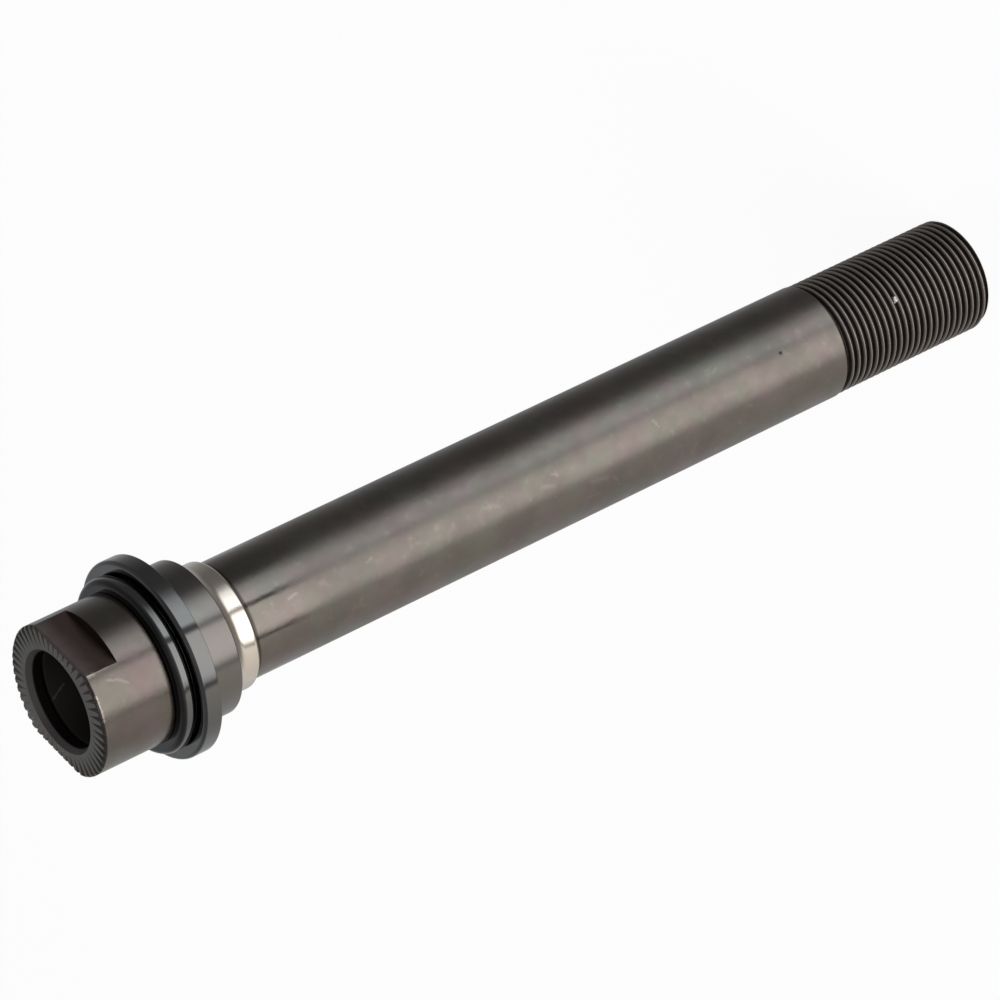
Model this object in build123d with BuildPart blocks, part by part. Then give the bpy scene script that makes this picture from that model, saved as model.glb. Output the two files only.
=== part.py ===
from build123d import *

import os
from math import sqrt

# Rear hub axle for a 12 mm through-axle, turned from steel tube, with its
# right-hand cone, dust cap and locknut fitted.
#
# Frame: the axle stands on its threaded left-hand end. The origin is the
# centre of that end face and +Z runs along the axle to the toothed face of
# the locknut. +X is square to one of the locknut's two wrench flats.
# All sizes are in millimetres.

# Axle tube
through_axle_diameter = 12.0
through_axle_clearance = 0.2
tube_wall = 1.4
overall_length = 137.65
bore_chamfer = 0.3
thread_length = 24.0
thread_truncation = 0.1
thread_chamfer = 0.35
runout_length = 0.7
runout_depth = 0.6

# Locknut
locknut_side = 2.0
locknut_length = 9.8
locknut_wall = 1.85
end_gap = 0.3
mouth_width = 0.5
mouth_depth = 0.75
rim_chamfer = 0.3
flat_depth = 1.5
flat_length = 4.55

# Radial teeth of the locknut, which bite into the frame's dropout
tooth_count = 50
tooth_depth = 0.32
tooth_gap_width = 0.8
tooth_land = 0.2

# Dust cap
cap_seat = 0.5
cap_edge = 0.2
lip_height = 1.55
lip_length = 1.55
lip_rounding = 0.85
cap_groove_width = 0.55
cap_groove_depth = 0.85
flange_height = 3.0
flange_length = 2.35
flange_bevel = 0.45

# Cone
collar_step = 0.25
collar_length = 4.9
collar_bevel = 0.3
nose_wall = 0.6
nose_length = 3.8
nose_bevel = 0.25
race_rise = 1.1
race_radius = 2.4

# Radii that follow from the sizes above
bore_radius = (through_axle_diameter + through_axle_clearance) / 2
tube_radius = bore_radius + tube_wall
thread_radius = tube_radius - thread_truncation
locknut_radius = tube_radius + locknut_side
neck_radius = locknut_radius - cap_seat
lip_radius = locknut_radius + lip_height
flange_radius = locknut_radius + flange_height
collar_radius = locknut_radius + collar_step
nose_radius = tube_radius + nose_wall

# Stations along the axle, counted down from the toothed face
locknut_back = overall_length - locknut_length
lip_back = locknut_back - lip_length
flange_front = lip_back - cap_groove_width
cap_back = flange_front - flange_length
collar_back = cap_back - collar_length
cone_back = collar_back - nose_length
tube_top = overall_length - locknut_wall - end_gap


# The axle tube: a plain ground barrel with a fine thread on its left end. The
# thread is drawn as a plain cylinder at its crests, and ends in a run-out
# groove as deep as its roots.
with BuildPart() as hub_axle:
    with BuildSketch(Plane.XZ) as tube_section:
        with BuildLine():
            Polyline(
                (bore_radius, 0),
                (thread_radius, 0),
                (thread_radius, thread_length - runout_length),
                (thread_radius - runout_depth, thread_length - runout_length),
                (thread_radius - runout_depth, thread_length),
                (tube_radius, thread_length),
                (tube_radius, tube_top),
                (bore_radius, tube_top),
                close=True,
            )
        make_face()
        bore_corners = tube_section.vertices().group_by(Axis.X)[0]
        thread_corner = tube_section.vertices().group_by(Axis.Y)[0].sort_by(Axis.X)[-1]
        chamfer(bore_corners, bore_chamfer)
        chamfer(thread_corner, thread_chamfer)
    revolve(axis=Axis.Z)

hub_axle.part.label = "hub_axle"


# The cone: a neck for the cap, a collar, the hollow ball race and a ground
# nose, all turned from one blank that fits the tube.
race_run = sqrt(race_radius**2 - (race_radius - race_rise) ** 2)

with BuildPart() as right_hand_cone:
    with BuildSketch(Plane.XZ) as cone_section:
        with BuildLine():
            Polyline(
                (nose_radius + race_rise, collar_back),
                (collar_radius, collar_back),
                (collar_radius, cap_back),
                (neck_radius, cap_back),
                (neck_radius, locknut_back),
                (tube_radius, locknut_back),
                (tube_radius, cone_back),
                (nose_radius, cone_back),
                (nose_radius, collar_back - race_run),
            )
            RadiusArc(
                (nose_radius, collar_back - race_run),
                (nose_radius + race_rise, collar_back),
                -race_radius,
            )
        make_face()
        collar_corner = cone_section.vertices().group_by(Axis.X)[-1].sort_by(Axis.Y)[0]
        nose_corner = cone_section.vertices().group_by(Axis.Y)[0].sort_by(Axis.X)[-1]
        chamfer(collar_corner, collar_bevel)
        chamfer(nose_corner, nose_bevel)
    revolve(axis=Axis.Z)

right_hand_cone.part.label = "right_hand_cone"


# The dust cap: one ring with a thin rounded lip in front, a groove, and the
# wide flange that runs inside the mouth of the hub shell.
with BuildPart() as dust_cap:
    with BuildSketch(Plane.XZ) as cap_section:
        with BuildLine():
            Polyline(
                (neck_radius, locknut_back),
                (lip_radius, locknut_back),
                (lip_radius, lip_back),
                (lip_radius - cap_groove_depth, lip_back),
                (lip_radius - cap_groove_depth, flange_front),
                (flange_radius, flange_front),
                (flange_radius, cap_back),
                (neck_radius, cap_back),
                close=True,
            )
        make_face()
        flange_corners = cap_section.vertices().group_by(Axis.X)[-1].sort_by(Axis.Y)
        chamfer(flange_corners[-1], flange_bevel)
        chamfer(flange_corners[0], cap_edge)
        lip_corners = cap_section.vertices().group_by(Axis.X)[2].sort_by(Axis.Y)
        fillet(lip_corners[-1], lip_rounding)
        chamfer(lip_corners[0], cap_edge)
    revolve(axis=Axis.Z)

dust_cap.part.label = "dust_cap"


# One gap between two teeth: a V that is sunk to tooth_depth at the rim and
# runs out to nothing just outside the bore, as an inclined cutter leaves it.
# The V goes on past the rim and above the face, so that it cuts clean.
tooth_start_radius = bore_radius + mouth_width + tooth_land
gap_run = locknut_radius - tooth_start_radius
gap_slope = tooth_depth / gap_run
gap_flank = tooth_gap_width / 2 / tooth_depth
overrun = gap_run / 4
cutter_depth = tooth_depth + overrun * gap_slope
cutter_top = 2 * tooth_depth
cutter_half_width = (cutter_depth + cutter_top) * gap_flank

with BuildPart() as tooth_gap:
    cutter_plane = Plane(
        origin=(locknut_radius + overrun, 0, overall_length),
        x_dir=(0, 1, 0),
        z_dir=(1, 0, 0),
    )
    with BuildSketch(cutter_plane):
        with BuildLine():
            Polyline(
                (0, -cutter_depth),
                (cutter_half_width, cutter_top),
                (-cutter_half_width, cutter_top),
                close=True,
            )
        make_face()
    cutter_path = Vector(-1, 0, gap_slope) * (gap_run + 2 * overrun)
    extrude(amount=cutter_path.length, dir=cutter_path.normalized())


# The locknut: a cap screwed onto the end of the tube. A wall at its front
# stops short of the tube's end and carries the teeth. Its hole has a steep
# mouth, which leads the through-axle in.
with BuildPart() as right_hand_locknut:
    with BuildSketch(Plane.XZ) as locknut_section:
        with BuildLine():
            Polyline(
                (bore_radius + mouth_width, overall_length),
                (locknut_radius, overall_length),
                (locknut_radius, locknut_back),
                (tube_radius, locknut_back),
                (tube_radius, overall_length - locknut_wall),
                (bore_radius, overall_length - locknut_wall),
                (bore_radius, overall_length - mouth_depth),
                close=True,
            )
        make_face()
        front_corners = locknut_section.vertices().group_by(Axis.Y)[-1].sort_by(Axis.X)
        chamfer(front_corners[-1], rim_chamfer)
    revolve(axis=Axis.Z)
    with BuildSketch(Plane.XY.offset(overall_length)):
        with PolarLocations(locknut_radius - flat_depth, 2):
            Rectangle(locknut_radius, 2 * locknut_radius, align=(Align.MIN, Align.CENTER))
    extrude(amount=-flat_length, mode=Mode.SUBTRACT)
    with PolarLocations(0, tooth_count):
        add(tooth_gap.part, mode=Mode.SUBTRACT)

right_hand_locknut.part.label = "right_hand_locknut"


os.makedirs("parts", exist_ok=True)
export_step(hub_axle.part, "parts/hub_axle.step")
export_step(right_hand_cone.part, "parts/right_hand_cone.step")
export_step(dust_cap.part, "parts/dust_cap.step")
export_step(right_hand_locknut.part, "parts/right_hand_locknut.step")
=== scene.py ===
# %% [markdown]
# # A rear hub axle, dressed in Blender
#
# A rear wheel turns on this part. A hollow steel tube carries a thread at
# one end, and a cone, a dust cap and a toothed locknut at the other. The
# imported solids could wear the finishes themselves, but their thread is a
# plain cylinder and their edges are straight bevels. So each of the four
# turned parts is made again as one closed skin, with the solids as the
# ruler. Sizes are written in millimetres and become Blender's metres in one
# place.

# %% Load the frame
import bpy
import numpy as np
from mathutils import Matrix, Vector


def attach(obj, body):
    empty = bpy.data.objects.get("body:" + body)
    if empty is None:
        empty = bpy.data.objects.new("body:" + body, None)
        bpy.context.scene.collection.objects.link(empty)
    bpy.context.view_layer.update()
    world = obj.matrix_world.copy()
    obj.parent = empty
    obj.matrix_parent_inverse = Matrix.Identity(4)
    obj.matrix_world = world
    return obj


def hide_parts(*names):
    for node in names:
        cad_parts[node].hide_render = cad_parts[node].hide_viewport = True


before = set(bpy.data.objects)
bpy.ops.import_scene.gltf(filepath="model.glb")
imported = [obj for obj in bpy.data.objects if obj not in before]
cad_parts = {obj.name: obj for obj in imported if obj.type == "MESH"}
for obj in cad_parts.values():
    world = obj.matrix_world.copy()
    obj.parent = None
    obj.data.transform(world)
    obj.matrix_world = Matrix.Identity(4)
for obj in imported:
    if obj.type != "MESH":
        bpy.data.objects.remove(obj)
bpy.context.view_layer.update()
mm = 0.001
print("nodes in the frame:", sorted(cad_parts))

# %% [markdown]
# ## The camera
#
# The photograph is a long-lens product shot. The axle lies across it, but
# stands upright in this frame, so the camera is rolled instead of the axle.
# A constraint could aim a camera at the axle, but it would leave out the
# roll. Three directions at right angles hold all of it, and they are the
# columns of the camera's matrix. The picture is square, so the wide side of
# the 36 mm sensor is the whole field of view.

# %% Camera
camera_place = Vector((0.41969492, -0.35205023, 0.38257372))
picture_right = Vector((0.06223215, -0.61600198, -0.78528257))
picture_up = Vector((0.7411379, 0.55549471, -0.37701491))
camera_data = bpy.data.cameras.new("camera")
camera_data.sensor_width = 36.0
camera_data.lens = 187.908
camera_data.clip_start = 0.01
camera_data.clip_end = 20.0
camera = bpy.data.objects.new("camera", camera_data)
turn = Matrix((picture_right, picture_up, picture_right.cross(picture_up))).transposed()
camera.matrix_world = Matrix.Translation(camera_place) @ turn.to_4x4()
bpy.context.scene.collection.objects.link(camera)
bpy.context.scene.camera = camera
bpy.context.scene.view_settings.view_transform = "Standard"
print("camera is", round(camera_place.length, 3), "m from the foot of the axle")

# %% [markdown]
# ## A short way to write nodes
#
# A node tree reads best as a list of what feeds what. `node` adds one node,
# sets its properties by name and fills its sockets: a value is written into
# the socket, and another node's output is linked to it. The helpers after
# it are the few steps that every finish repeats.

# %% Node writer
def node(tree, kind, sockets=(), **settings):
    """One shader node. sockets is {name or number: value or output}."""
    made = tree.nodes.new("ShaderNode" + kind)
    for name, value in settings.items():
        setattr(made, name, value)
    for name, value in dict(sockets).items():
        if isinstance(value, bpy.types.NodeSocket):
            tree.links.new(value, made.inputs[name])
        else:
            made.inputs[name].default_value = value
    return made


def maths(tree, operation, *values, clamp=False):
    """One step of arithmetic; gives its result."""
    step = node(tree, "Math", dict(enumerate(values)), operation=operation, use_clamp=clamp)
    return step.outputs[0]


def times(tree, value, share):
    """The value times the share."""
    return maths(tree, "MULTIPLY", value, share)


def between(tree, value, start, end, low=0.0, high=1.0):
    """A smooth rise from low to high as value goes from start to end."""
    sockets = {"Value": value, "From Min": start, "From Max": end, "To Min": low, "To Max": high}
    return node(tree, "MapRange", sockets, interpolation_type="SMOOTHSTEP").outputs[0]


def blend(tree, share, low, high):
    """The colour low where share is 0 and high where it is 1; each is three numbers or an output."""
    pair = [(*colour, 1.0) if isinstance(colour, tuple) else colour for colour in (low, high)]
    return node(tree, "MixRGB", {0: share, 1: pair[0], 2: pair[1]}).outputs[0]


def ramp(tree, fac, stops):
    """A colour scale read at fac; stops is a list of (place, three numbers)."""
    made = node(tree, "ValToRGB", {"Fac": fac})
    points = made.color_ramp.elements
    while len(points) < len(stops):
        points.new(0.5)
    for point, (place, colour) in zip(points, stops):
        point.position = place
        point.color = (*colour, 1.0)
    return made.outputs[0]


print("node helpers: node, maths, times, between, blend and ramp")

# %% [markdown]
# ## The studio
#
# Polished steel has hardly a colour of its own, and shows the room instead.
# On the real axle the room reads as two long softboxes with a narrow gap
# between them, a dark side above them, and a pale table below and behind.
# Real lamps and cards could be set up round the axle. A ring of levels in
# the world is easier to tune, because the place of each band on the steel
# answers to one azimuth. The axle stands upright here, so the room is
# turned with it: one ring serves the directions below the horizon and one
# those above. Straight down, past the softboxes' ends, it is dark. The
# camera itself sees plain white.

# %% World
cool, plain = np.array([0.95, 0.99, 1.02]), np.array([1.0, 1.0, 1.0])
mild, warm = np.array([1.0, 0.975, 0.95]), np.array([1.0, 0.955, 0.9])
low_ring = [
    (0, 1.27, cool), (6, 1.0, cool), (14, 0.47, cool), (22, 0.19, plain), (32, 0.14, plain),
    (58, 0.13, plain), (75, 0.19, plain), (92, 0.28, plain), (112, 0.47, cool), (135, 0.53, cool),
    (160, 0.5, plain), (175, 0.54, plain), (190, 0.64, plain), (215, 0.66, warm), (245, 0.74, warm),
    (261, 0.85, warm), (264, 0.28, plain), (267, 0.28, plain), (270.5, 1.15, mild), (278, 1.9, mild),
    (292, 2.0, mild), (324, 1.75, mild), (327.5, 0.28, plain), (332, 0.28, plain), (336, 1.7, cool),
    (350, 1.6, cool), (359.9, 1.27, cool),
]
high_ring = [
    (0, 0.14, plain), (40, 0.14, plain), (80, 0.2, plain), (105, 0.26, plain), (140, 0.46, cool),
    (180, 0.25, plain), (240, 0.21, plain), (300, 0.27, plain), (359.9, 0.14, plain),
]
straight_down = (0.22, 0.21, 0.2)
world = bpy.data.worlds.new("studio")
bpy.context.scene.world = world
world.use_nodes = True
sky = world.node_tree
sky.nodes.clear()
way = node(sky, "SeparateXYZ", {0: node(sky, "TexCoord").outputs["Generated"]}).outputs
around = maths(sky, "FRACT", maths(sky, "DIVIDE", maths(sky, "ARCTAN2", way["Y"], way["X"]), 2.0 * np.pi))


def lit_ring(levels):
    """The colour of the room at each azimuth; levels is a list of (degrees, level, tint)."""
    return ramp(sky, around, [(azimuth / 360, level * tint) for azimuth, level, tint in levels])


low = blend(sky, between(sky, way["Z"], -0.7, -0.92), lit_ring(low_ring), straight_down)
room = blend(sky, between(sky, way["Z"], -0.2, 0.15), low, lit_ring(high_ring))
seen = node(sky, "Background", {"Color": room, "Strength": 1.0})
white = node(sky, "Background", {"Color": (1, 1, 1, 1), "Strength": 1.0})
is_camera = node(sky, "LightPath").outputs["Is Camera Ray"]
both = node(sky, "MixShader", {0: is_camera, 1: seen.outputs[0], 2: white.outputs[0]})
node(sky, "OutputWorld", {"Surface": both.outputs[0]})
print("levels in the studio ring:", len(low_ring), "low,", len(high_ring), "high")

# %% [markdown]
# Two soft area lamps light the floor and give the axle its soft shadow.
# Each is aimed by its own matrix, whose Z column points away from the axle.
# The steel doesn't mirror them: the rings of the room already hold all that
# it shows, and a lamp on top would draw a white streak along each bevel.

# %% Lamps
middle = Vector((0, 0, 0.07))


def softbox(name, azimuth, elevation, distance, size, level):
    """A square lamp that looks at the axle and shines as bright as level, where white is 1."""
    heading, tilt = np.radians([azimuth, elevation])
    out = Vector((np.cos(heading) * np.cos(tilt), np.sin(heading) * np.cos(tilt), np.sin(tilt)))
    lamp = bpy.data.lights.new(name, "AREA")
    lamp.size = size
    lamp.energy = level * np.pi * size**2
    holder = bpy.data.objects.new(name, lamp)
    aim = out.to_track_quat("Z", "Y").to_matrix().to_4x4()
    holder.matrix_world = Matrix.Translation(middle + out * distance) @ aim
    holder.visible_glossy = False
    bpy.context.scene.collection.objects.link(holder)
    print(name, "shines with", round(lamp.energy, 2), "W")


softbox("overhead_lamp", -62, 62, 1.0, 0.6, 6.0)
softbox("side_lamp", 150, 50, 1.2, 0.6, 2.5)

# %% [markdown]
# The floor is a pale matt sheet under the threaded end. More lamp light
# would make it white, and the axle too bright with it. So part of its light
# is its own, for the camera only, which makes it as white as the
# photograph's ground and still lets the shadow show. Steel doesn't see it:
# the room's low ring already holds what lies below the horizon.

# %% Floor
floor_side, own_share = 4.0, 0.92
edge = floor_side / 2
corners = [(-edge, -edge, 0), (edge, -edge, 0), (edge, edge, 0), (-edge, edge, 0)]
sheet = bpy.data.meshes.new("floor")
sheet.from_pydata(corners, [], [(0, 1, 2, 3)])
floor = bpy.data.objects.new("floor", sheet)
bpy.context.scene.collection.objects.link(floor)
paper = bpy.data.materials.new("floor_paper")
paper.use_nodes = True
tree = paper.node_tree
tree.nodes.clear()
matt = node(tree, "BsdfDiffuse", {"Color": (0.9, 0.9, 0.9, 1)})
glow = node(tree, "Emission", {"Color": (1, 1, 1, 1), "Strength": 1.0})
own_light = times(tree, node(tree, "LightPath").outputs["Is Camera Ray"], own_share)
paper_mix = node(tree, "MixShader", {0: own_light, 1: matt.outputs[0], 2: glow.outputs[0]})
node(tree, "OutputMaterial", {"Surface": paper_mix.outputs[0]})
sheet.materials.append(paper)
floor.visible_glossy = False
floor.visible_shadow = False
print("the floor is", floor_side, "m wide")

# %% [markdown]
# ## One way to make every turned part
#
# A turned part is a closed section in the half plane of radius and height,
# carried once round the axis. A Screw modifier could carry it, but then no
# radius could change on the way round, as the thread's and the locknut's
# do. So the mesh is a grid whose rows are the section's points and whose
# columns are the steps of the turn. Both ends of both directions meet, so
# the skin has no border and no pole. The section runs anticlockwise, up its
# outer wall, which makes the faces point outward.

# %% Skins
full_turn = 2 * np.pi


def skin(name, grid, crease=35.0):
    """A closed mesh through grid[row, column] = (x, y, z) in millimetres.
    Each face joins four neighbours, and the last row and column join the first."""
    rows, columns = grid.shape[:2]
    number = np.arange(rows * columns).reshape(rows, columns)
    right, up = np.roll(number, -1, 1), np.roll(number, -1, 0)
    corners = np.stack([number, right, np.roll(right, -1, 0), up], -1).reshape(-1, 4)
    mesh = bpy.data.meshes.new(name)
    mesh.from_pydata((grid.reshape(-1, 3) * mm).tolist(), [], corners.tolist())
    mesh.shade_smooth()
    mesh.set_sharp_from_angle(angle=np.radians(crease))
    piece = bpy.data.objects.new(name, mesh)
    bpy.context.scene.collection.objects.link(piece)
    print(name, "has", 2 * len(corners), "triangles")
    return piece


def turned(radius, height, angle):
    """x = radius cos(angle), y = radius sin(angle), z = height, for arrays that fit together."""
    radius, height, angle = np.broadcast_arrays(radius, height, angle)
    return np.stack([radius * np.cos(angle), radius * np.sin(angle), height], -1)


print("one full turn is", round(full_turn, 3), "radians")

# %% [markdown]
# No real edge is perfectly sharp, and its small rounding catches the light.
# A Bevel modifier could round the finished mesh. It is cheaper to round the
# section before it is turned, because that is one curve for each corner.

# %% Eased corners
def eased(section, reach, steps=5):
    """The section with each corner drawn as a short curve: the square of (1 - t) times the point
    reach before the corner, plus 2 t (1 - t) times the corner, plus the square of t times the point
    reach after it. One more point on each side holds the shading of the straight walls true. A short
    side gives up at most 0.3 of its length."""
    corner = np.asarray(section, float)
    into, onward = np.roll(corner, 1, 0) - corner, np.roll(corner, -1, 0) - corner
    cut = [np.minimum(reach / np.linalg.norm(side, axis=1), 0.3)[:, None] * side for side in (into, onward)]
    t = np.linspace(0, 1, steps)[None, :, None]
    start, end = (corner + cut[0])[:, None], (corner + cut[1])[:, None]
    curve = (1 - t) ** 2 * start + 2 * t * (1 - t) * corner[:, None] + t**2 * end
    before, after = (corner + 1.5 * cut[0])[:, None], (corner + 1.5 * cut[1])[:, None]
    return np.concatenate([before, curve, after], 1).reshape(-1, 2)


print("a square's four corners become", len(eased([(0, 0), (1, 0), (1, 1), (0, 1)], 0.2)), "points")

# %% [markdown]
# ## The tube and its thread
#
# The real thread is a right-hand M15 by 1, cut with a single-point tool: it
# climbs one millimetre in each turn. A helix could be swept as its own
# ribbon, but then its ends have to be sewn to the tube. It is simpler to let
# the radius of the tube's wall depend on both height and angle: the phase
# of the cut is the height in pitches less the share of the turn.

# %% Thread
bore, wall, crest, root = 6.1, 7.5, 7.4, 6.84
pitch, thread_start, crest_half, crest_wear = 1.0, 0.387, 0.1, 0.04
thread_end, end_bevel, flank_angle = 23.65, 0.35, np.radians(30)
rows_per_turn, tube_columns = 16, 180


def thread_radius(height, angle):
    """Crest radius near the crest's line, falling along flanks of 30 degrees to the root, and
    held under the cone that bevels the end. The start of the cut is the photograph's."""
    phase = (height / pitch - angle / full_turn + thread_start) % 1.0
    off_crest = np.abs(phase - 0.5) * pitch
    flank = crest - np.maximum(off_crest - crest_half, 0) / np.tan(flank_angle)
    worn = crest_wear * (off_crest / crest_half).clip(0, 1) ** 2
    return np.minimum(np.maximum(flank - worn, root), crest - end_bevel + height)


angle = np.linspace(0, full_turn, tube_columns, endpoint=False)[None, :]
height = np.arange(0, thread_end, pitch / rows_per_turn)[:, None]
thread = turned(thread_radius(height, angle), height, angle)
print("the thread makes", round(thread_end / pitch, 1), "turns over", len(height), "rows")

# %% [markdown]
# The rest of the tube is plain: a narrow groove where the threading tool
# ran out, the ground wall, the hidden end inside the locknut, and the bore.
# It is the same grid with a few more rows, so the tube stays one skin.

# %% Tube
runout_end, runout_radius, tube_top, bore_bevel = 24.0, 6.8, 135.5, 0.3
barrel = np.array([
    (runout_radius, thread_end), (runout_radius, runout_end), (wall - 0.1, runout_end),
    (wall, runout_end + 0.1), (wall, runout_end + 0.25), (wall, 60.0), (wall, 100.0), (wall, tube_top),
    (bore + bore_bevel, tube_top), (bore, tube_top - bore_bevel), (bore, 80.0), (bore, bore_bevel),
    (bore + bore_bevel, 0.0),
])
tube_grid = np.concatenate([thread, turned(barrel[:, :1], barrel[:, 1:], angle)])
axle_tube = skin("axle_tube", tube_grid, crease=50.0)
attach(axle_tube, "root")
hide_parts("hub_axle")

# %% [markdown]
# ## The cone
#
# The cone is the fixed half of a ball bearing. Its neck carries the dust
# cap, a hollow race is ground beside the dark collar for the balls, and the
# short bright nose is ground to fit the inside of the hub. Collar, race and
# nose could be three pieces, but the real cone is turned from one blank, so
# one section holds them all and the race is an arc in it. The race leaves
# the nose smoothly, so the corner there keeps none of its eased points.

# %% Cone
locknut_back, cap_back, collar_back, cone_back = 127.85, 123.4, 118.5, 114.7
neck_radius, collar_radius, nose_radius = 9.0, 9.75, 8.1
race_radius, race_rise = 2.4, 1.1
turns = 192
race_run = np.sqrt(race_radius**2 - (race_radius - race_rise) ** 2)
race_angle = np.pi - np.linspace(0, 1, 12) * np.arcsin(race_run / race_radius)
race_centre = np.array([nose_radius + race_radius, collar_back - race_run])
race = race_centre + race_radius * np.stack([np.cos(race_angle), np.sin(race_angle)], 1)
cone_corners = [
    race[-1], (collar_radius, collar_back), (collar_radius, cap_back), (neck_radius, cap_back),
    (neck_radius, locknut_back), (wall, locknut_back), (wall, cone_back),
    (nose_radius - 0.3, cone_back), (nose_radius, cone_back + 0.35), race[0],
]
points_per_corner = 7
past_race = eased(cone_corners, 0.22)[:-points_per_corner]
cone_section = np.concatenate([race[1:-1], past_race])
angle = np.linspace(0, full_turn, turns, endpoint=False)[None, :]
cone = skin("cone", turned(cone_section[:, :1], cone_section[:, 1:], angle))
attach(cone, "root")
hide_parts("right_hand_cone")

# %% [markdown]
# ## The dust cap
#
# The cap is a thin plated ring: a rounded lip behind the locknut, a narrow
# groove, and the wide flange that closes the mouth of the hub. Its two
# round edges are quarter arcs, long enough to show as bands of light, and
# easing alone would leave them too tight. The other edges are eased, and
# draw the fine bright lines that a glossy part shows.

# %% Cap
lip_back, flange_front, lip_rounding, flange_rounding = 126.25, 125.8, 0.85, 0.5
lip_radius, groove_radius, flange_radius, rear_edge = 11.05, 10.2, 12.5, 0.07
quarter = np.radians(np.linspace(0, 90, 10))[:, None]
inward = np.hstack([np.cos(quarter), np.sin(quarter)]) - 1
lip_edge = np.array([lip_radius, locknut_back]) + lip_rounding * inward
flange_edge = np.array([flange_radius, flange_front]) + flange_rounding * inward
cap_corners = [
    (neck_radius, cap_back), (flange_radius - rear_edge, cap_back), (flange_radius, cap_back + rear_edge),
    *flange_edge, (groove_radius, flange_front), (groove_radius, lip_back), (lip_radius, lip_back),
    *lip_edge, (neck_radius, locknut_back),
]
cap_section = eased(cap_corners, 0.18)
cap = skin("cap", turned(cap_section[:, :1], cap_section[:, 1:], angle))
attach(cap, "root")
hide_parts("dust_cap")

# %% [markdown]
# ## The locknut and its teeth
#
# Fifty V-shaped gaps are milled across the end of the locknut, deep at the
# rim and running out just before the bore, so that it bites into the frame.
# Cutting them with fifty booleans would leave ragged shading. Here they are
# drawn by the grid itself: six columns to a tooth follow the gap's edges,
# flanks and floor, and so fan out with the radius. The two wrench flats are
# where the outline's radius is held to 8 mm over the cosine of the angle.

# %% Outline and gaps
face, rim, flat, flat_end = 137.65, 9.5, 8.0, 133.1
teeth, gap_depth, gap_width, gap_start = 50, 0.32, 0.8, 7.0
rim_bevel, front_wall, mouth_width, mouth_depth = 0.3, 1.85, 0.5, 0.75


def outline(angle):
    """Radius of the locknut beside its flats: the rim, or the flat's distance over the cosine."""
    return np.minimum(rim, flat / np.maximum(np.abs(np.cos(angle)), 0.5))


def gap_share(radius):
    """How deep the gap is here, as a share of its depth at the rim."""
    return np.clip((radius - gap_start) / (rim - gap_start), 0, 1)


print("the flats are", 2 * round(float(outline(0.0)), 2), "mm apart, and the teeth", 360 / teeth, "degrees")

# %% [markdown]
# Each flat ends at a corner, and a column has to run along that corner, or
# the flat's edge is cut into steps. Columns at equal steps would need far
# more of them to come near it, so the column in the middle of the nearest
# land is moved there.

# %% Columns that follow the teeth
tooth_turn = full_turn / teeth
across = np.array([-1.0, -0.5, 0.0, 0.5, 1.0, 0.0])
centre = np.arange(teeth)[:, None] * tooth_turn + np.array([0, 0, 0, 0, 0, tooth_turn / 2])
flat_corner = np.arccos(flat / rim)
for corner_angle in (flat_corner, np.pi - flat_corner, np.pi + flat_corner, full_turn - flat_corner):
    centre[np.abs(centre[:, 5] - corner_angle).argmin(), 5] = corner_angle


def tooth_angle(radius):
    """Angle of each column where it lies at this radius: five columns keep their place across the
    gap, from -1 to 1 half width, and the sixth stays in the middle of the land."""
    half = np.maximum(gap_width / 2 * gap_share(radius), 0.01) / radius
    return centre + half * across


rim_angle = tooth_angle(rim)
sunk = 1 - np.abs(across) - (np.arange(6) == 5)
print("the face has", rim_angle.size, "columns")

# %% [markdown]
# The rows go once round the section: up the outer wall, across the toothed
# face, and down the mouth and the wall of the hole. Only the rows of the
# face bend, so that each column meets the outline where the gap does.

# %% Locknut
def face_row(share):
    """One row across the toothed face, at this share of the way from the bore to the outline.
    Its height is the face's less the gap's depth or the rim's bevel, whichever is more."""
    bent = tooth_angle(gap_start + share * (outline(rim_angle) - gap_start))
    radius = gap_start + share * (outline(bent) - gap_start)
    drop = gap_depth * gap_share(radius) * sunk
    bevel = radius - (rim - rim_bevel)
    return turned(radius, face - np.maximum(drop, bevel), bent).reshape(-1, 3)


def ring(radius, height):
    """One plain row of the locknut, on the same columns as the teeth."""
    return turned(radius, height, rim_angle).reshape(-1, 3)


bevel_share = (rim - rim_bevel - gap_start) / (rim - gap_start)
rows = [ring(wall, locknut_back), ring(rim - 0.1, locknut_back), ring(rim, locknut_back + 0.1)]
rows += [ring(rim, h) for h in (locknut_back + 0.25, 130.0, flat_end - 0.01)]
rows += [ring(outline(rim_angle), h) for h in (flat_end + 0.01, 135.0, 136.6)]
rows += [face_row(share) for share in (1.0, 0.945, bevel_share, 0.87, 0.7, 0.5, 0.3, 0.15, 0.0)]
rows += [ring(bore + mouth_width, face), ring(bore, face - mouth_depth), ring(bore, face - front_wall)]
rows += [ring(wall, face - front_wall)]
locknut = skin("locknut", np.stack(rows), crease=30.0)
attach(locknut, "root")
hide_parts("right_hand_locknut")

# %% [markdown]
# ## Finishes
#
# All four parts are steel, and share what a lathe and a life in a workshop
# leave on it: fine rings from the tool, a skin that isn't quite even, clouds
# in the blackening, and rubbed spots. An image could be painted for each
# part, but a pattern worked out from the place on the axle never stretches
# and has no seam. Each effect is a node group, made once here and placed in
# every finish with its own values. The first gives a point's height along
# the axle, its distance from the axis, and its distance from the plane
# halfway between the two wrench flats, all in millimetres.

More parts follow.
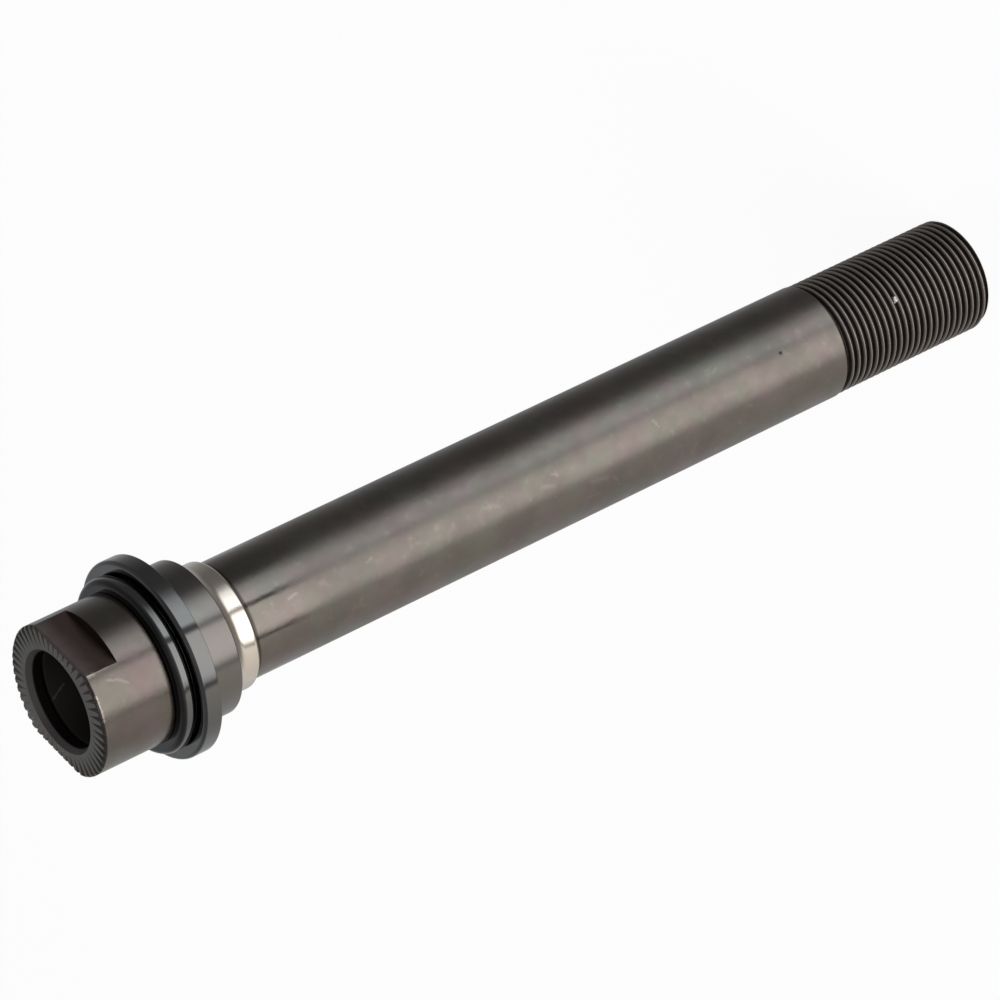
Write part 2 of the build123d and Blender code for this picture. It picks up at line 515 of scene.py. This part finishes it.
# %% Measures of a point
def effect(name, inputs, outputs):
    """An empty node group with named sockets; gives the tree, what enters it and what leaves it."""
    tree = bpy.data.node_groups.new(name, "ShaderNodeTree")
    for label, kind, value in inputs:
        socket = tree.interface.new_socket(label, in_out="INPUT", socket_type="NodeSocket" + kind)
        if value is not None:
            socket.default_value = value
    for label in outputs:
        tree.interface.new_socket(label, in_out="OUTPUT", socket_type="NodeSocketFloat")
    entry = tree.nodes.new("NodeGroupInput").outputs
    leave = tree.nodes.new("NodeGroupOutput").inputs
    print("effect", name, "gives", ", ".join(outputs))
    return tree, entry, leave


def scaled(tree, vector, factor):
    """The vector, longer by the factor."""
    return node(tree, "VectorMath", {0: vector, 3: factor}, operation="SCALE").outputs[0]


def length(tree, vector):
    """The vector's length."""
    return node(tree, "VectorMath", {0: vector}, operation="LENGTH").outputs["Value"]


measures, entry, leave = effect("axle_measures", [("Position", "Vector", None)], ["Height", "Radius", "Side"])
spot = node(measures, "SeparateXYZ", {0: scaled(measures, entry["Position"], 1 / mm)}).outputs
level_spot = node(measures, "CombineXYZ", {"X": spot["X"], "Y": spot["Y"]})
measures.links.new(spot["Z"], leave["Height"])
measures.links.new(length(measures, level_spot.outputs[0]), leave["Radius"])
measures.links.new(maths(measures, "ABSOLUTE", spot["X"]), leave["Side"])

# %% [markdown]
# A turning tool leaves rings that depend only on how far it has gone along
# the part and out from its axis, so a noise of one dimension draws them. The
# clouds are a noise in space, pressed to a clear light and dark.

# %% Rings and clouds
ring_inputs = [("Position", "Vector", None), ("Spacing", "Float", 0.4)]
rings, entry, leave = effect("tool_rings", ring_inputs, ["Height"])
at = node(rings, "Group", {"Position": entry["Position"]}, node_tree=measures).outputs
along_tool = maths(rings, "DIVIDE", maths(rings, "ADD", at["Height"], at["Radius"]), entry["Spacing"])
tool = node(rings, "TexNoise", {"W": along_tool, "Scale": 1.0, "Detail": 3.0}, noise_dimensions="1D")
rings.links.new(tool.outputs[0], leave["Height"])

cloud_inputs = [("Position", "Vector", None), ("Size", "Float", 4.0), ("Detail", "Float", 4.0)]
clouds, entry, leave = effect("blackening_clouds", cloud_inputs, ["Cloud", "Grain"])
shrunk = scaled(clouds, entry["Position"], maths(clouds, "DIVIDE", 1 / mm, entry["Size"]))
cloud_noise = {"Vector": shrunk, "Scale": 1.0, "Detail": entry["Detail"], "Roughness": 0.55}
blot = node(clouds, "TexNoise", cloud_noise).outputs[0]
clouds.links.new(between(clouds, blot, 0.34, 0.66), leave["Cloud"])
clouds.links.new(blot, leave["Grain"])

# %% [markdown]
# A rub or a scratch is a short straight stroke. The stroke's own place runs
# from 0 to 1 along it: the share of the way is the dot product of the two
# offsets over the stroke's length squared, held to its ends. What is left of
# the offset is the distance from the stroke, and the mask falls off with it.
# A fine noise breaks the stroke's edge, as grime and grinding do.

# %% Rub marks
rub_inputs = [
    ("Position", "Vector", None), ("Start", "Vector", (0, 0, 0)), ("Stroke", "Vector", (0, 0, 0.001)),
    ("Width", "Float", 0.1),
]
rub, entry, leave = effect("rub_mark", rub_inputs, ["Mask"])
stroke = entry["Stroke"]
offset = node(rub, "VectorMath", {0: entry["Position"], 1: entry["Start"]}, operation="SUBTRACT").outputs[0]
along = node(rub, "VectorMath", {0: offset, 1: stroke}, operation="DOT_PRODUCT").outputs["Value"]
square = node(rub, "VectorMath", {0: stroke, 1: stroke}, operation="DOT_PRODUCT").outputs["Value"]
foot = scaled(rub, stroke, maths(rub, "DIVIDE", along, square, clamp=True))
rest = node(rub, "VectorMath", {0: offset, 1: foot}, operation="SUBTRACT").outputs[0]
away = maths(rub, "DIVIDE", length(rub, rest), mm)
broken = node(rub, "TexNoise", {"Vector": entry["Position"], "Scale": 2500.0, "Detail": 2.0}).outputs[0]
reach = times(rub, entry["Width"], between(rub, broken, 0.3, 0.6, 0.4, 1.2))
fallen = maths(rub, "DIVIDE", away, reach, clamp=True)
rub.links.new(maths(rub, "SUBTRACT", 1.0, fallen, clamp=True), leave["Mask"])

# %% [markdown]
# The ends of a mark could be written as points in space, but then each has
# to be worked out to lie on the part. A height along the axle and a turn
# round it always lie on the part's own wall, and they can be read off the
# photograph.

# %% Places of the marks
nearest_azimuth = -40.0


def on_axle(radius, height, turn):
    """The place at this radius and height in millimetres, turned this many degrees down from the
    line on the axle that lies nearest to the camera."""
    angle = np.radians(nearest_azimuth - turn)
    return Vector((radius * np.cos(angle), radius * np.sin(angle), height)) * mm


def strokes(tree, position, radius, *marks):
    """The strongest of several rub marks at this radius; a mark is (start, end, width in mm,
    strength), and its start and end are (height, turn)."""
    most = 0.0
    for start, end, width, strength in marks:
        start, end = on_axle(radius, *start), on_axle(radius, *end)
        sockets = {"Position": position, "Start": start, "Stroke": end - start, "Width": width}
        mask = node(tree, "Group", sockets, node_tree=rub).outputs["Mask"]
        most = maths(tree, "MAXIMUM", times(tree, mask, strength), most)
    return most


print("marks are placed from azimuth", nearest_azimuth, "degrees")

# %% [markdown]
# Every finish starts as the same bare metal and ends with the same three
# links: a colour, a roughness and a stack of bumps. What lies between them
# is each part's own, and these helpers place the shared effects in it. All
# of it reads Object coordinates. Each piece sits at the origin, unturned,
# so those are simply metres along and across the axle.

# %% Bare steel
def steel(name):
    """A new metal. Gives the material, its tree, the place of each point and its measures."""
    made = bpy.data.materials.new(name)
    made.use_nodes = True
    tree = made.node_tree
    tree.nodes["Principled BSDF"].inputs["Metallic"].default_value = 1.0
    position = node(tree, "TexCoord").outputs["Object"]
    at = node(tree, "Group", {"Position": position}, node_tree=measures).outputs
    return made, tree, position, at


def cloud(tree, position, size, detail=4.0):
    """Clouds of this size in millimetres."""
    sockets = {"Position": position, "Size": size, "Detail": detail}
    return node(tree, "Group", sockets, node_tree=clouds).outputs


def tool_marks(tree, position, spacing):
    """The tool's rings, this many millimetres apart."""
    return node(tree, "Group", {"Position": position, "Spacing": spacing}, node_tree=rings).outputs[0]


def finish(made, colour, roughness, bumps):
    """Link the metal's colour and roughness, and its bumps: each is (height, reach in metres)."""
    tree = made.node_tree
    shader = tree.nodes["Principled BSDF"]
    tree.links.new(colour, shader.inputs["Base Color"])
    tree.links.new(roughness, shader.inputs["Roughness"])
    normal = None
    for height, reach in bumps:
        bump = node(tree, "Bump", {"Height": height, "Distance": reach, "Strength": 1.0})
        if normal:
            tree.links.new(normal, bump.inputs["Normal"])
        normal = bump.outputs[0]
    tree.links.new(normal, shader.inputs["Normal"])
    print(made.name, "has", len(tree.nodes), "nodes and", len(bumps), "bumps")


print("shared effects:", ", ".join(group.name for group in bpy.data.node_groups))

# %% [markdown]
# The tube is ground and then blackened. The blackening drifts from olive to
# rose, with brown clouds and a few small worn flecks. The thread is cut
# through the grinding. Its roots are painted nearly black, as painted shade
# in the grooves, and its crests a warm grey, partly wear and partly a painted
# highlight. Shaft and thread could be two materials with a border between
# them, but one material with a mask by height is simpler to keep in step.

# %% Tube colours
tube_finish, tree, position, at = steel("blackened_tube")
small = cloud(tree, position, 1.6)
hue, broad = cloud(tree, position, 5.0, 3.0)["Cloud"], cloud(tree, position, 6.0)["Cloud"]
olive, rose = (0.189, 0.187, 0.159), (0.215, 0.179, 0.17)
brown, worn = (0.15, 0.133, 0.122), (0.3, 0.268, 0.232)
satin = blend(tree, hue, olive, rose)
satin = blend(tree, times(tree, broad, 0.55), satin, brown)
satin = blend(tree, between(tree, small["Grain"], 0.58, 0.74, 0.0, 0.28), satin, worn)
# Painted shade in the thread's roots; the crests are painted lighter, partly as wear and partly as a painted
# highlight.
root_shade_black, worn_lit_crest = (0.06, 0.047, 0.048), (0.42, 0.385, 0.345)
dark_up_to, worn_and_lit_from = 7.1, 7.34
thread_colour = blend(tree, between(tree, at["Radius"], dark_up_to, worn_and_lit_from), root_shade_black, worn_lit_crest)
on_thread = between(tree, at["Height"], runout_end + 0.05, runout_end - 0.05)
colour = blend(tree, on_thread, satin, thread_colour)

# %% [markdown]
# The photograph shows small marks of use: soft rubs along the shaft, a dark
# speck near the thread and a white grain of dust caught in it. Each is a
# stroke in its own place, as is a thin light line just inside the bore. The
# dust isn't metal, so it also takes the metal away where it lies. A dark line
# of painted shade lies where the cone's nose ends on the tube, and the bore
# is left dark.

# %% Marks and painted shade on the tube
rubs = strokes(
    tree, position, wall,
    ((109.0, 6), (107.8, 4), 0.3, 0.22), ((97.6, 7), (96.9, 5), 0.3, 0.2),
    ((80.5, 8), (78.5, 12), 0.45, 0.12), ((72.0, 14), (70.2, 18), 0.45, 0.12),
    ((69.9, 7), (69.2, 11), 0.3, 0.22), ((64.9, 30), (62.6, 34), 0.4, 0.14),
    ((61.5, 37), (60.8, 43), 0.3, 0.14), ((54.0, 3), (53.6, 10), 0.3, 0.24),
    ((43.2, -13), (42.6, -16), 0.3, 0.2),
)
speck = strokes(tree, position, wall, ((33.26, -2.9), (33.2, -2.4), 0.35, 1.0))
flank_radius = 7.15
caught = strokes(tree, position, flank_radius, ((14.4, -2.0), (14.4, -0.9), 0.55, 1.0))
dust = between(tree, caught, 0.25, 0.45)
# A thin light line just inside the bore, on its far side.
light_line_in_bore = strokes(tree, position, bore, ((133.2, 196), (135.3, 185), 0.2, 1.0))
in_bore = between(tree, at["Radius"], bore + 0.5, bore + 0.35)
# Painted shade: a dark line on the tube just where the cone's nose ends on it.
from_below = between(tree, at["Height"], cone_back - 0.6, cone_back - 0.25)
from_above = between(tree, at["Height"], cone_back + 0.3, cone_back + 0.1)
nose_shade_line = times(tree, times(tree, from_below, from_above), 0.75)
for mask, paint in (
    (rubs, (0.45, 0.41, 0.36)), (speck, (0.02, 0.018, 0.017)), (dust, (0.9, 0.88, 0.85)),
    (in_bore, (0.075, 0.07, 0.066)), (light_line_in_bore, (0.24, 0.22, 0.21)), (nose_shade_line, (0.03, 0.026, 0.025)),
):
    colour = blend(tree, mask, colour, paint)
tree.links.new(maths(tree, "SUBTRACT", 1.0, dust), tree.nodes["Principled BSDF"].inputs["Metallic"])
print("the tube's colours take", len(tree.nodes), "nodes")

# %% [markdown]
# A roughness of 0 is a mirror and 1 is chalk. Near the cone, where the
# bearing sits, the grinding is finer, so the softboxes show there with crisp
# edges. Farther along they melt into one soft band. One value could only
# give one of the two looks, so the roughness is a slope along the shaft,
# with the thread and the bore held duller.

# %% Tube gloss
crisp_height, soft_height = 112.5, 103.0
rough = between(tree, at["Height"], crisp_height, soft_height, 0.12, 0.34)
rough = maths(tree, "ADD", rough, between(tree, small["Cloud"], 0.0, 1.0, 0.02, -0.02))
rough = maths(tree, "MAXIMUM", rough, times(tree, on_thread, 0.5))
rough = maths(tree, "MAXIMUM", rough, times(tree, in_bore, 0.6))
finish(tube_finish, colour, rough, [(small["Grain"], 0.00002), (tool_marks(tree, position, 0.35), 0.000003)])

# %% [markdown]
# The cone is hardened. Its collar is dark and polished, while the race and
# the nose are ground after hardening, which leaves them bright and faintly
# warm. A second material could hold the bright part, but the grinding wheel
# leaves a clean step at the collar's back edge, and a mask by height draws
# that step anywhere.

# %% Cone finish
cone_finish, tree, position, at = steel("ground_cone")
small = cloud(tree, position, 1.2)
hue, broad = cloud(tree, position, 6.0, 2.0)["Cloud"], cloud(tree, position, 5.0)["Cloud"]
collar = blend(tree, hue, (0.2, 0.187, 0.182), (0.205, 0.2, 0.178))
collar = blend(tree, times(tree, broad, 0.35), collar, (0.165, 0.152, 0.145))
ground = blend(tree, broad, (0.78, 0.715, 0.64), (0.72, 0.655, 0.585))
bright = between(tree, at["Height"], collar_back - 0.06, collar_back - 0.14)
colour = blend(tree, bright, collar, ground)
rough = between(tree, bright, 0.0, 1.0, 0.2, 0.14)
finish(cone_finish, colour, rough, [(small["Grain"], 0.000008), (tool_marks(tree, position, 0.25), 0.000004)])

# %% [markdown]
# The cap is plated a glossy black, so it is the one part that shows the
# room's edges sharply. A coat over black paint would look much the same,
# but plating is metal, so it stays a metal here: it needs hardly any
# colour, its roughness is low, and its rings are only just there. The lip's
# front is darker, where it lies in the locknut's shade.

# %% Cap finish
cap_finish, tree, position, at = steel("plated_cap")
broad = cloud(tree, position, 5.0)["Cloud"]
colour = blend(tree, broad, (0.155, 0.155, 0.156), (0.17, 0.17, 0.168))
lip_front = between(tree, at["Height"], locknut_back - 0.65, locknut_back - 0.25, 0.0, 0.75)
colour = blend(tree, lip_front, colour, (0.03, 0.028, 0.03))
rough = between(tree, broad, 0.0, 1.0, 0.07, 0.1)
finish(cap_finish, colour, rough, [(tool_marks(tree, position, 0.5), 0.000001)])

# %% [markdown]
# The locknut is blackened over a turned skin, and the black has worn
# unevenly: rose and olive drift over it. The flats keep the darkest and
# reddest black, and fade to grey towards the face. A flat could be picked
# out by its faces, but its distance from the middle plane finds it as well
# and needs no second material.

# %% Locknut colours
nut_finish, tree, position, at = steel("blackened_locknut")
small = cloud(tree, position, 1.2)
hue, broad = cloud(tree, position, 5.0, 3.0)["Cloud"], cloud(tree, position, 4.0)["Cloud"]
satin = blend(tree, hue, (0.189, 0.152, 0.15), (0.174, 0.173, 0.145))
satin = blend(tree, times(tree, broad, 0.5), satin, (0.142, 0.118, 0.108))
side_masks = [between(tree, at["Side"], flat + 0.06 * way_in, flat + 0.02 * way_in) for way_in in (1, -1)]
above_step = between(tree, at["Height"], flat_end - 0.1, flat_end - 0.02)
on_flat = times(tree, times(tree, *side_masks), above_step)
towards_face = between(tree, at["Height"], flat_end + 1.7, face - 0.05)
flat_colour = blend(tree, towards_face, (0.125, 0.085, 0.077), (0.27, 0.22, 0.215))
colour = blend(tree, times(tree, on_flat, 0.85), satin, flat_colour)
print("the locknut's colours take", len(tree.nodes), "nodes")

# %% [markdown]
# The spanner and the frame have rubbed the locknut bright in a few places:
# the rim below the flat and the flat's lower corner and edge, which are worn
# and also carry a painted highlight, and a light scratch that runs round the
# wall. The toothed end is painted a little darker all over, the mouth of the
# hole is grey, and the hole itself is dark and dull.

# %% Marks, painted highlights and gloss of the locknut
# The strokes on the rim below the flat and on the flat's lower corner and edge are partly wear, partly
# painted highlight; the last two are a scratch.
rubs = strokes(
    tree, position, rim,
    ((137.35, 9), (137.35, 27), 0.28, 1.0), ((137.2, -7.0), (136.5, -7.0), 0.4, 0.6),
    ((136.5, -7.0), (134.4, -7.0), 0.2, 0.2), ((135.1, 1.7), (133.9, 4.0), 0.3, 0.16),
    ((133.9, 4.0), (132.9, 8.8), 0.26, 0.13),
)
# The whole toothed end, above the floors of the gaps, is blended a little towards black.
on_teeth = between(tree, at["Height"], face - 0.45, face - 0.35, 0.0, 0.28)
in_mouth = between(tree, at["Radius"], bore + mouth_width + 0.02, bore + mouth_width - 0.02)
in_bore = between(tree, at["Radius"], bore + 0.1, bore + 0.02)
for mask, paint in (
    (rubs, (0.55, 0.5, 0.45)), (on_teeth, (0.03, 0.03, 0.03)), (in_mouth, (0.22, 0.195, 0.2)),
    (in_bore, (0.075, 0.058, 0.055)),
):
    colour = blend(tree, mask, colour, paint)
rough = between(tree, small["Cloud"], 0.0, 1.0, 0.27, 0.22)
rough = maths(tree, "ADD", rough, times(tree, on_flat, 0.2))
rough = maths(tree, "MAXIMUM", rough, times(tree, in_mouth, 0.5))
finish(nut_finish, colour, rough, [(small["Grain"], 0.000012), (tool_marks(tree, position, 0.3), 0.000004)])

# %% [markdown]
# Each part takes one finish over its whole skin, so a piece has a single
# material and no face needs to be picked for it.

# %% Put the finishes on
for piece, made in ((axle_tube, tube_finish), (cone, cone_finish), (cap, cap_finish), (locknut, nut_finish)):
    piece.data.materials.append(made)
    print(piece.name, "wears", made.name)
